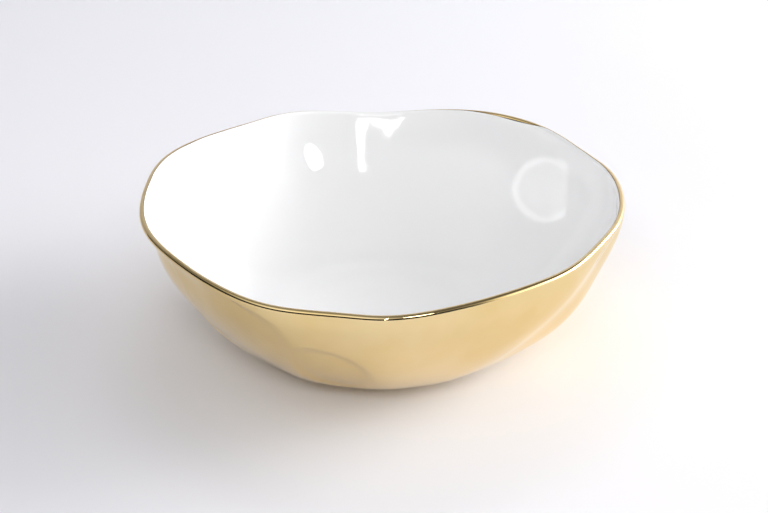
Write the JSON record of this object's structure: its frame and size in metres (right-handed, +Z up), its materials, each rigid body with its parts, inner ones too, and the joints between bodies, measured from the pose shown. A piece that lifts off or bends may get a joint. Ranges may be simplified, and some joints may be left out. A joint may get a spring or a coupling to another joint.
{
  "type": "serving bowl",
  "caption": "Wide, shallow porcelain serving bowl with a softly pinched, wavy rim: white gloss glaze inside, mirror gold outside and over the rounded lip, standing on a low foot ring.",
  "frame": {"origin": "middle of the foot's resting face, which is also the middle of the bowl's overall width and depth", "axes": "+Z up through the bowl's mouth, +X to the right and +Y to the back, where the rim dips the most"},
  "size_m": [0.3049, 0.3025, 0.0952],
  "materials": {
    "porcelain": "matte",
    "bare_foot": "matte",
    "base_white": "gloss",
    "white_glaze": "gloss",
    "under_glaze": "gloss",
    "mirror_gold": "polished",
    "rim_gold": "polished"
  },
  "bodies": {
    "root": {"porcelain_body": "porcelain", "foot_ring": "bare_foot", "base_glaze": "base_white", "interior_glaze": "white_glaze", "exterior_glaze": "under_glaze", "gold_coat": "mirror_gold", "rim_band": "rim_gold"}
  },
  "joints": []
}
